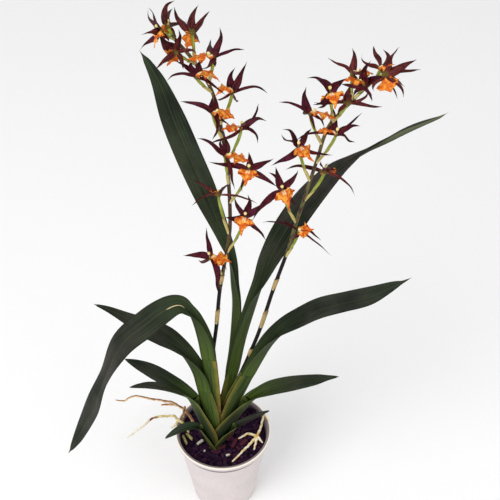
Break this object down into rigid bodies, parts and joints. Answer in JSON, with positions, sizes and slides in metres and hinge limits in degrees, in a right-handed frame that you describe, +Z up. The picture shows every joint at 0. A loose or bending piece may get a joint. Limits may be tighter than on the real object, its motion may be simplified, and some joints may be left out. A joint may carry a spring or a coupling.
{
  "type": "potted orchid",
  "caption": "Orchid in a plain round plastic pot, with a fan of folded strap leaves and two tall flower spikes of dark spidery blooms with orange lips.",
  "frame": {"origin": "centre of the pot's flat base", "axes": "+Z up along the pot's axis; the fan of leaves spreads along X; the blooms lean towards -Y, the side the picture shows"},
  "size_m": [0.4232, 0.138, 0.724],
  "materials": {
    "pot": "matt, pale lilac white",
    "soil": "rough moist bark and peat",
    "sheath": "satin green, yellower at the folded base",
    "leaf": "satin dark green with fine veins",
    "stem": "smooth, purple-brown to green",
    "bloom": "soft waxy maroon, with an orange lip",
    "lip": "soft waxy orange",
    "column": "soft pale yellow with brown marks",
    "bract": "dry and papery",
    "root": "dull tan, paler below"
  },
  "bodies": {
    "root": {"pot": "pot", "soil": "soil", "crown": "sheath", "leaf_tall_left": "leaf", "leaf_tall_right": "leaf", "leaf_arch_left": "leaf", "leaf_arch_right": "leaf", "leaf_low_right": "leaf", "leaf_mid_left": "leaf", "leaf_low_left": "leaf", "leaf_lowest_left": "leaf", "leaf_small_left": "leaf", "leaf_small_right": "leaf", "spike_left": "stem", "spike_right": "stem", "bloom_left_01": "bloom", "bloom_left_02": "bloom", "bloom_left_03": "bloom", "bloom_left_04": "bloom", "bloom_left_05": "bloom", "bloom_left_06": "bloom", "bloom_left_07": "bloom", "bloom_left_08": "bloom", "bloom_left_09": "bloom", "bloom_left_10": "bloom", "bloom_left_11": "bloom", "bloom_left_12": "bloom", "bloom_left_13": "bloom", "bloom_left_14": "bloom", "bloom_right_01": "bloom", "bloom_right_02": "bloom", "bloom_right_03": "bloom", "bloom_right_04": "bloom", "bloom_right_05": "bloom", "bloom_right_06": "bloom", "bloom_right_07": "bloom", "bloom_right_08": "bloom", "bloom_right_09": "bloom", "bloom_right_10": "bloom", "bloom_right_11": "bloom", "bloom_right_12": "bloom", "root_aerial_upper": "root", "root_aerial_lower": "root", "root_on_soil": "root"}
  },
  "joints": []
}
